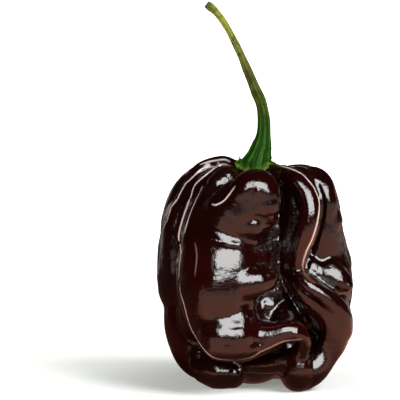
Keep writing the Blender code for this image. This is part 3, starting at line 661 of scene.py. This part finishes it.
def crown_height(surface, x, y):
    """Height of the pod's crown, with narrow valleys bridged over."""
    best = 0.0
    for dx, dy in PROBES:
        start = Vector((x + dx * PROBE_REACH, y + dy * PROBE_REACH, OUTSIDE))
        hit = surface.ray_cast(start, Vector((0, 0, -1)))[0]
        if hit is not None:
            best = max(best, hit.z)
    return best


def rim_noise(scale, seed):
    """Random unevenness round the calyx's rim."""
    rim = [Vector((math.cos(a) * scale, math.sin(a) * scale, seed)) for a in STEM_TURNS]
    return np.array([noise.noise(p) for p in rim])


def curled_teeth():
    """How strongly the rim curls up in a small tooth, for each turn."""
    curled = np.zeros(STEM_SIDES)
    for bearing, width, size in CURLED_TEETH:
        curled = np.maximum(curled, size * np.exp(-(((STEM_TURNS - math.radians(bearing)) / width) ** 2)))
    return curled


def collar(surface, radii, rise, lift):
    """A ring that follows the crown at given heights over it, or draws up from there towards the neck."""
    ring = []
    for a, r, over in zip(STEM_TURNS, radii, rise):
        x, y = CALYX_CENTRE[0] + r * math.cos(a), CALYX_CENTRE[1] + r * math.sin(a)
        z = crown_height(surface, x, y) + over
        ring.append((x, y, z + (NECK_HEIGHT - z) * lift))
    return ring


def calyx_rings(surface):
    """The toothed calyx, laid on the crown."""
    ragged = rim_noise(3.1, 4.0) + 0.6 * rim_noise(9.0, 8.0)
    teeth = TOOTH_DEPTH * np.cos(CALYX_TEETH * STEM_TURNS + 0.9)
    oval = OVAL_DEPTH * np.cos(2 * STEM_TURNS + 2.2)
    curled = curled_teeth()
    reach = CALYX_RADIUS * (1 + teeth + oval + RAGGED_DEPTH * ragged) + CURL_REACH * curled
    rings = []
    for share, over, lift in CALYX_RINGS:
        radii = reach * share
        if lift:
            radii += (NECK_RADIUS - radii) * min(1, NECK_DRAW * lift) + CALYX_RIDGE * RIDGE_PROFILE
        curl = CURL_RISE * curled * np.clip((share - CURL_START) / (1 - CURL_START), 0, 1)
        rings.append(collar(surface, radii, over * MM + curl, lift))
    return rings


def neck_rings():
    """The flare between calyx and stem."""
    rings = []
    for lean, radius, height in NECK_RINGS:
        x, y = CALYX_CENTRE[0] + lean * MM, CALYX_CENTRE[1]
        radii = radius * MM + NECK_RIDGE * RIDGE_PROFILE
        z = height * MM
        rings.append([(x + r * math.cos(a), y + r * math.sin(a), z) for a, r in zip(STEM_TURNS, radii)])
    return rings


def bent_rings():
    """The bent stem, whose ridges fade upwards, and its cut tip."""
    path = [(*from_sketch(across, up, STEM_DEPTH), radius * MM) for across, up, radius in STEM_PATH]
    points = smooth_path(path, STEM_STEPS)
    fading = np.linspace(1, 0.45, len(points))
    swelling = 1 + 0.03 * np.sin(np.arange(len(points)) * 0.5)
    radii = [p[3] * s * (1 + STEM_RIDGE * f * RIDGE_PROFILE) for p, f, s in zip(points, fading, swelling)]
    rings = rings_along(points[:, :3], radii, STEM_SIDES, np.array([1.0, 0, 0]))
    tip, before, last = points[-1][:3], points[-2][:3], rings[-1]
    onward = (tip - before) / np.linalg.norm(tip - before)
    for share, further in TIP_RINGS:
        middle = tip + onward * further * MM
        rings.append([middle + (p - tip) * share for p in last])
    return rings


def stem_mesh(pod):
    """Calyx laid on the crown, drawn up into the ridged, bent stem."""
    rings = calyx_rings(surface_of(pod)) + neck_rings() + bent_rings()
    mesh = bridged("stem", rings)
    margin, cut = np.zeros(len(rings)), np.zeros(len(rings))
    margin[: len(MARGIN_RINGS)] = MARGIN_RINGS
    cut[-len(TIP_RINGS) :] = 1
    keep_mask(mesh, "along", np.repeat(np.linspace(0, 1, len(rings)), STEM_SIDES))
    keep_mask(mesh, "ridge", np.tile(RIDGE_PROFILE, len(rings)))
    keep_mask(mesh, "margin", np.repeat(margin, STEM_SIDES))
    keep_mask(mesh, "cut_end", np.repeat(cut, STEM_SIDES))
    return mesh


class Maker:
    """Adds and links nodes in one node tree."""

    def __init__(self, tree):
        self.tree = tree

    def give(self, socket, value):
        """Links a value that is a socket, and sets any other."""
        if isinstance(value, bpy.types.NodeSocket):
            self.tree.links.new(value, socket)
        elif isinstance(value, tuple) and socket.type == "RGBA":
            socket.default_value = (*value, 1)
        else:
            socket.default_value = value

    def node(self, kind, inputs=None, **settings):
        made = self.tree.nodes.new(kind)
        for key, value in settings.items():
            setattr(made, key, value)
        for socket, value in (inputs or {}).items():
            self.give(made.inputs[socket], value)
        return made

    def math(self, operation, a, b):
        return self.node("ShaderNodeMath", {0: a, 1: b}, operation=operation).outputs[0]

    def mix(self, share, a, b):
        return self.node("ShaderNodeMix", {0: share, 6: a, 7: b}, data_type="RGBA").outputs[2]

    def span(self, value, low, high, start=0.0, end=1.0):
        """Eases from start to end while a value goes from low to high."""
        inputs = {0: value, 1: low, 2: high, 3: start, 4: end}
        return self.node("ShaderNodeMapRange", inputs, interpolation_type="SMOOTHSTEP").outputs[0]

    def mask(self, name):
        return self.node("ShaderNodeAttribute", attribute_name=name).outputs["Fac"]

    def noise(self, vector, scale, detail=3.0, rough=0.55, distortion=0.0):
        inputs = {"Vector": vector, "Scale": scale, "Detail": detail, "Roughness": rough}
        inputs["Distortion"] = distortion
        return self.node("ShaderNodeTexNoise", inputs).outputs["Fac"]

    def place(self):
        return self.node("ShaderNodeTexCoord").outputs["Object"]


def new_material(name):
    """An empty material with a Principled shader, and what adds nodes to it."""
    made = bpy.data.materials.new(name)
    made.use_nodes = True
    made.node_tree.nodes.clear()
    maker = Maker(made.node_tree)
    shader = maker.node("ShaderNodeBsdfPrincipled")
    maker.node("ShaderNodeOutputMaterial", {"Surface": shader.outputs[0]})
    return made, maker, shader


def set_inputs(maker, shader, **values):
    for name, value in values.items():
        maker.give(shader.inputs[name.replace("_", " ")], value)


def mottle_group():
    """Cloudy patches and fine specks over a surface, by place."""
    tree = bpy.data.node_groups.new("mottle", "ShaderNodeTree")
    for name, value in (("Patch Size", 4.0), ("Speck Size", 0.7)):
        tree.interface.new_socket(name, in_out="INPUT", socket_type="NodeSocketFloat").default_value = value
    for name in ("Patches", "Specks"):
        tree.interface.new_socket(name, in_out="OUTPUT", socket_type="NodeSocketFloat")
    maker = Maker(tree)
    given = maker.node("NodeGroupInput")
    place = maker.place()
    patch_scale = maker.math("DIVIDE", 1 / MM, given.outputs["Patch Size"])
    speck_scale = maker.math("DIVIDE", 1 / MM, given.outputs["Speck Size"])
    patches = maker.span(maker.noise(place, patch_scale, 3.0, 0.6, 0.4), 0.38, 0.66)
    specks = maker.span(maker.noise(place, speck_scale, 2.0), 0.35, 0.7)
    maker.node("NodeGroupOutput", {"Patches": patches, "Specks": specks})
    return tree


def mottled(maker, mottle, patch, speck):
    """Patches and specks of given sizes in millimetres."""
    made = maker.node("ShaderNodeGroup", {"Patch Size": patch, "Speck Size": speck}, node_tree=mottle)
    return made.outputs["Patches"], made.outputs["Specks"]


def bumped(maker, height, strength, depth):
    """The surface's normal, tilted by a height; the depth is in millimetres."""
    inputs = {"Strength": strength, "Distance": depth * MM, "Height": height}
    return maker.node("ShaderNodeBump", inputs).outputs[0]


CHOCOLATE = (0.008, 0.0012, 0.001)
BROWN = (0.013, 0.0024, 0.0016)
DEEP_RED = (0.015, 0.0012, 0.001)
KNOT_BROWN_AND_SHADE = (0.006, 0.0014, 0.0012)
# Colour of the painted amber highlight in one fold.
AMBER_GLINT = (0.15, 0.06, 0.02)
# Colour of the painted rim highlights along the rib edges.
RIM_HIGHLIGHT_COLOUR = (1.0, 0.86, 0.8)
SKIN_ROUGHNESS, SPECK_ROUGHNESS, KNOT_ROUGHNESS = 0.07, 0.05, 0.06
SKIN_IOR = 1.48
SKIN_BUMP = 0.065
# The skin's fine grain: size in millimetres, detail, strength, and whether it is drawn out up and down.
SKIN_GRAIN = [(0.9, 3.0, 0.9, False), (0.3, 2.0, 0.2, False), (1.1, 2.0, 0.9, True)]
DRAWN_OUT = (1, 1, 0.35)


def skin_grain(maker):
    """Height of the skin's fine grain."""
    place = maker.place()
    drawn_out = maker.node("ShaderNodeVectorMath", {0: place, 1: DRAWN_OUT}, operation="MULTIPLY").outputs[0]
    height = 0.0
    for size, detail, strength, is_drawn in SKIN_GRAIN:
        pattern = maker.noise(drawn_out if is_drawn else place, 1 / (size * MM), detail, 0.5)
        height = maker.math("ADD", maker.math("MULTIPLY", pattern, strength), height)
    return height


def pod_material(mottle):
    """Thick glossy skin, dark chocolate brown with deep red showing through, pale painted highlights along
    the rib edges, a painted amber highlight in one fold, and darker knotted valleys, partly painted shade.
    """
    made, maker, shader = new_material("chocolate_skin")
    patches, specks = mottled(maker, mottle, 5.0, 0.9)
    knots = maker.mask("knotted")
    red_share = maker.math("MULTIPLY", maker.mask("red_flesh"), maker.span(patches, 0.0, 1.0, 0.55, 1.0))
    colour = maker.mix(patches, CHOCOLATE, BROWN)
    colour = maker.mix(red_share, colour, DEEP_RED)
    # Darker in the knotted valleys: partly the skin's own brown, partly painted shade.
    colour = maker.mix(maker.math("MULTIPLY", knots, 0.7), colour, KNOT_BROWN_AND_SHADE)
    # Painted amber highlight in one fold.
    colour = maker.mix(maker.mask("painted_amber_glint"), colour, AMBER_GLINT)
    # Painted rim highlights along the rib edges.
    colour = maker.mix(maker.mask("painted_rim_highlight"), colour, RIM_HIGHLIGHT_COLOUR)
    roughness = maker.math("ADD", maker.math("MULTIPLY", specks, SPECK_ROUGHNESS), SKIN_ROUGHNESS)
    roughness = maker.math("ADD", roughness, maker.math("MULTIPLY", knots, KNOT_ROUGHNESS))
    normal = bumped(maker, skin_grain(maker), 1.0, SKIN_BUMP)
    set_inputs(maker, shader, Base_Color=colour, Roughness=roughness, IOR=SKIN_IOR, Normal=normal)
    return made


BASE_GREEN = (0.01, 0.05, 0.0015)
MIDDLE_GREEN = (0.11, 0.1, 0.02)
UPPER_OLIVE = (0.33, 0.39, 0.06)
TIP_OLIVE = (0.08, 0.07, 0.03)
PALE_GREEN = (0.035, 0.16, 0.006)
DARK_GREEN = (0.004, 0.02, 0.0015)
DRY_MARGIN = (0.16, 0.2, 0.03)
CUT_END = (0.05, 0.042, 0.02)
# Shares of the way up the stem over which it turns to the next colour.
STEM_COLOURS = [(0.2, 0.5, MIDDLE_GREEN), (0.5, 0.8, UPPER_OLIVE), (0.88, 0.98, TIP_OLIVE)]
STEM_ROUGHNESS, STEM_SHINE = 0.55, 0.04
STEM_GRAIN, STEM_BUMP = 0.35, 0.08


def stem_material(mottle):
    """Vivid green ridged calyx that turns olive towards the cut tip, with painted highlight on its ridge
    crests and painted shade in its grooves.
    """
    made, maker, shader = new_material("green_stem_skin")
    patches = mottled(maker, mottle, 1.6, 0.25)[0]
    along, ridge = maker.mask("along"), maker.mask("ridge")
    colour = BASE_GREEN
    for low, high, further_up in STEM_COLOURS:
        colour = maker.mix(maker.span(along, low, high), colour, further_up)
    # Painted highlight on the ridge crests, fading up the stem, and painted shade in the grooves between
    # them.
    crest = maker.math("MULTIPLY", maker.span(ridge, 0.2, 1.4), 0.85)
    crest = maker.math("MULTIPLY", crest, maker.span(along, 0.3, 0.6, 1.0, 0.3))
    groove = maker.math("MULTIPLY", maker.span(ridge, 0.1, -1.2), 0.8)
    dark = maker.math("MULTIPLY", maker.span(patches, 0.3, 1.0), 0.6)
    dry = maker.math("MULTIPLY", maker.mask("margin"), maker.span(patches, 0.2, 0.9, 0.1, 0.7))
    colour = maker.mix(crest, colour, PALE_GREEN)
    colour = maker.mix(groove, colour, DARK_GREEN)
    colour = maker.mix(dark, colour, DARK_GREEN)
    colour = maker.mix(dry, colour, DRY_MARGIN)
    colour = maker.mix(maker.mask("cut_end"), colour, CUT_END)
    normal = bumped(maker, maker.noise(maker.place(), 1 / (STEM_GRAIN * MM), 2.0), 0.4, STEM_BUMP)
    set_inputs(maker, shader, Base_Color=colour, Roughness=STEM_ROUGHNESS, Normal=normal)
    set_inputs(maker, shader, Specular_IOR_Level=STEM_SHINE)
    return made


def added(name, data):
    """A new object in the scene."""
    obj = bpy.data.objects.new(name, data)
    bpy.context.scene.collection.objects.link(obj)
    return obj


def dressed(name, mesh, made, node):
    """A finished piece that stands for a solid and rides with it."""
    obj = added(name, mesh)
    mesh.name = name
    mesh.materials.clear()
    mesh.materials.append(made)
    mesh.transform(Matrix.Translation((*BOX_SHIFT, 0)))
    mesh.shade_smooth()
    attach(obj, "root")
    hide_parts(node)


SWEEP_HALF = 6.0
SWEEP_WHITE = (0.8, 0.8, 0.8)
SWEEP_ROUGHNESS = 0.9
# Spans over the sweep: two distances in metres, and the brightness at each, or 0 and 1. The first ones hold
# for what the pepper gets from the sweep and mirrors of it, a glow painted on the sweep though it is no
# lamp.
NEAR_FALL = (0.04, 0.3, 1.7, 0.75)
FAR_FALL = (0.25, 0.8, 1.0, 0.1)
WARM_FALL = (0.03, 0.2)
WARM_NEAR, WARM_FAR = (1.0, 0.42, 0.3), (0.8, 0.62, 0.55)
# Painted shadow: the glow that the pepper gets and mirrors goes dark near its foot.
FOOT_SHADE = (0.02, 0.036, 0.14, 1.0)
# It is dark to the left of a slanting line, a painted shadow, except far behind, and beyond its front edge.
LEFT_SHADE, LEFT_SLANT = (-0.02, 0.01, 0.06, 1.0), -1.2
BEHIND_LIGHT = (0.05, 0.4)
FRONT_EDGE = -0.75
# These hold for the sweep as the eye sees it: a glow, though it is no lamp, fainter near the pepper as
# painted shade.
GLOW_COLOUR = (0.97, 1.0, 0.93)
CONTACT_GLOW = (0.012, 0.045, 0.24, 0.62)
OPEN_GLOW = (0.07, 0.3, 0.0, 0.8)


def reflected_sweep(maker, place, away):
    """The sweep in reflections, a painted glow: warm and bright at hand, painted shade at the foot and on
    the left.
    """
    parts = maker.node("ShaderNodeSeparateXYZ", {0: place})
    x, y = parts.outputs["X"], parts.outputs["Y"]
    slant = maker.math("ADD", x, maker.math("MULTIPLY", y, LEFT_SLANT))
    shade = maker.math("MAXIMUM", maker.span(slant, *LEFT_SHADE), maker.span(y, *BEHIND_LIGHT))
    strength = maker.math("MULTIPLY", maker.span(away, *NEAR_FALL), maker.span(away, *FAR_FALL))
    strength = maker.math("MULTIPLY", strength, maker.math("GREATER_THAN", y, FRONT_EDGE))
    strength = maker.math("MULTIPLY", maker.math("MULTIPLY", strength, shade), maker.span(away, *FOOT_SHADE))
    tint = maker.mix(maker.span(away, *WARM_FALL), WARM_NEAR, WARM_FAR)
    return maker.node("ShaderNodeEmission", {"Color": tint, "Strength": strength}).outputs[0]


def sweep_material():
    """White to the eye through a painted glow, fainter near the pepper, with its own painted look in
    reflections.
    """
    made, maker, shader = new_material("white_sweep")
    set_inputs(maker, shader, Base_Color=SWEEP_WHITE, Roughness=SWEEP_ROUGHNESS, Specular_IOR_Level=0.0)
    place = maker.place()
    away = maker.node("ShaderNodeVectorMath", {0: place}, operation="LENGTH").outputs["Value"]
    strength = maker.math("ADD", maker.span(away, *CONTACT_GLOW), maker.span(away, *OPEN_GLOW))
    glow = maker.node("ShaderNodeEmission", {"Color": GLOW_COLOUR, "Strength": strength})
    lit = maker.node("ShaderNodeAddShader", {0: shader.outputs[0], 1: glow.outputs[0]})
    reflected = reflected_sweep(maker, place, away)
    seen = maker.node("ShaderNodeLightPath").outputs["Is Camera Ray"]
    both = maker.node("ShaderNodeMixShader", {0: seen, 1: reflected, 2: lit.outputs[0]})
    output = next(n for n in maker.tree.nodes if n.type == "OUTPUT_MATERIAL")
    maker.tree.links.new(both.outputs[0], output.inputs["Surface"])
    return made


def sweep():
    """The floor, which is no part of the pepper."""
    mesh = bpy.data.meshes.new("sweep")
    h = SWEEP_HALF
    mesh.from_pydata([(-h, -h, 0), (h, -h, 0), (h, h, 0), (-h, h, 0)], [], [(0, 1, 2, 3)])
    mesh.materials.append(sweep_material())
    added("sweep", mesh)


PEPPER_MIDDLE = Vector((0, 0, 0.026))


def direction(azimuth, elevation):
    """Unit way from the pepper: azimuth 0 is towards the camera's side, plus to the right."""
    a, e = math.radians(azimuth), math.radians(elevation)
    return Vector((math.sin(a) * math.cos(e), -math.cos(a) * math.cos(e), math.sin(e)))


def softbox(name, azimuth, elevation, distance, size, radiance, shines=True, lights=True):
    """A plain rectangular lamp: shines is what gloss reflects, lights is what it casts."""
    light = bpy.data.lights.new(name, "AREA")
    light.shape = "RECTANGLE"
    light.size, light.size_y = size
    light.energy = radiance * size[0] * size[1] * math.pi
    obj = added(name, light)
    way = direction(azimuth, elevation)
    obj.location = PEPPER_MIDDLE + way * distance
    obj.rotation_mode = "QUATERNION"
    obj.rotation_quaternion = way.to_track_quat("Z", "Y")
    obj.visible_camera = False
    obj.visible_glossy = shines
    obj.visible_diffuse = lights


def studio():
    """A bright lamp and its dim rim, which only gloss shows, and two lamps that only cast light."""
    softbox("key_reflection", 14, 28, 0.9, (0.98, 0.56), 12.5, lights=False)
    softbox("key_halo", 14, 28, 0.92, (1.2, 0.74), 2.6, lights=False)
    softbox("key_light", 58, 41, 0.9, (0.5, 0.5), 14.0, shines=False)
    softbox("fill_light", -60, 16, 0.9, (0.5, 0.5), 8.0, shines=False)


# Brightness of the surroundings in reflections, by how far a direction points behind the pepper and upwards.
BEHIND_SPAN = (0.4, 0.85, 0.01, 0.9)
UPWARD_SPAN = (0.04, 0.2, 1.0, 0.04)
WHITE_STRENGTH = 1.05
WARM_WHITE = (1, 0.82, 0.74)


def surroundings():
    """White to the eye; in reflections dark on the camera's side and bright behind, low down."""
    world = bpy.data.worlds.new("studio")
    bpy.context.scene.world = world
    world.use_nodes = True
    world.node_tree.nodes.clear()
    maker = Maker(world.node_tree)
    way = maker.node("ShaderNodeTexCoord").outputs["Generated"]
    parts = maker.node("ShaderNodeSeparateXYZ", {0: way})
    behind = maker.span(parts.outputs["Y"], *BEHIND_SPAN)
    low = maker.span(parts.outputs["Z"], *UPWARD_SPAN)
    strength = maker.math("MULTIPLY", behind, low)
    seen = maker.node("ShaderNodeLightPath").outputs["Is Camera Ray"]
    white = maker.node("ShaderNodeBackground", {"Color": (1, 1, 1), "Strength": WHITE_STRENGTH})
    glow = maker.node("ShaderNodeBackground", {"Color": WARM_WHITE, "Strength": strength})
    both = maker.node("ShaderNodeMixShader", {0: seen, 1: glow.outputs[0], 2: white.outputs[0]})
    maker.node("ShaderNodeOutputWorld", {"Surface": both.outputs[0]})


# The picture is 400 sketch units wide and high, and its middle lies left of and above the sketch's origin.
PICTURE_SIDE = 400
PICTURE_MIDDLE = (-55, 191)
CAMERA_DISTANCE = 1.0
SENSOR = 36.0


def camera():
    """Looks down on the pepper at the sketch's own angle."""
    data = bpy.data.cameras.new("view")
    data.sensor_width = SENSOR
    data.lens = SENSOR * CAMERA_DISTANCE / (PICTURE_SIDE * SKETCH_UNIT)
    obj = added("view", data)
    back = direction(0, math.degrees(SKETCH_ABOVE))
    right = Vector((1, 0, 0))
    up = back.cross(right)
    aim = right * PICTURE_MIDDLE[0] * SKETCH_UNIT + up * (PICTURE_MIDDLE[1] * SKETCH_UNIT + SKETCH_FLOOR)
    obj.location = aim + back * CAMERA_DISTANCE
    obj.rotation_mode = "QUATERNION"
    obj.rotation_quaternion = back.to_track_quat("Z", "Y")
    bpy.context.scene.camera = obj
    bpy.context.scene.view_settings.view_transform = "Standard"


def build():
    """The pepper, its stage and its light."""
    camera()
    mottle = mottle_group()
    pod = pod_mesh()
    stem = stem_mesh(pod)
    dressed("folded_pod", pod, pod_material(mottle), "pod")
    dressed("stem_and_calyx", stem, stem_material(mottle), "stem")
    sweep()
    studio()
    surroundings()


build()
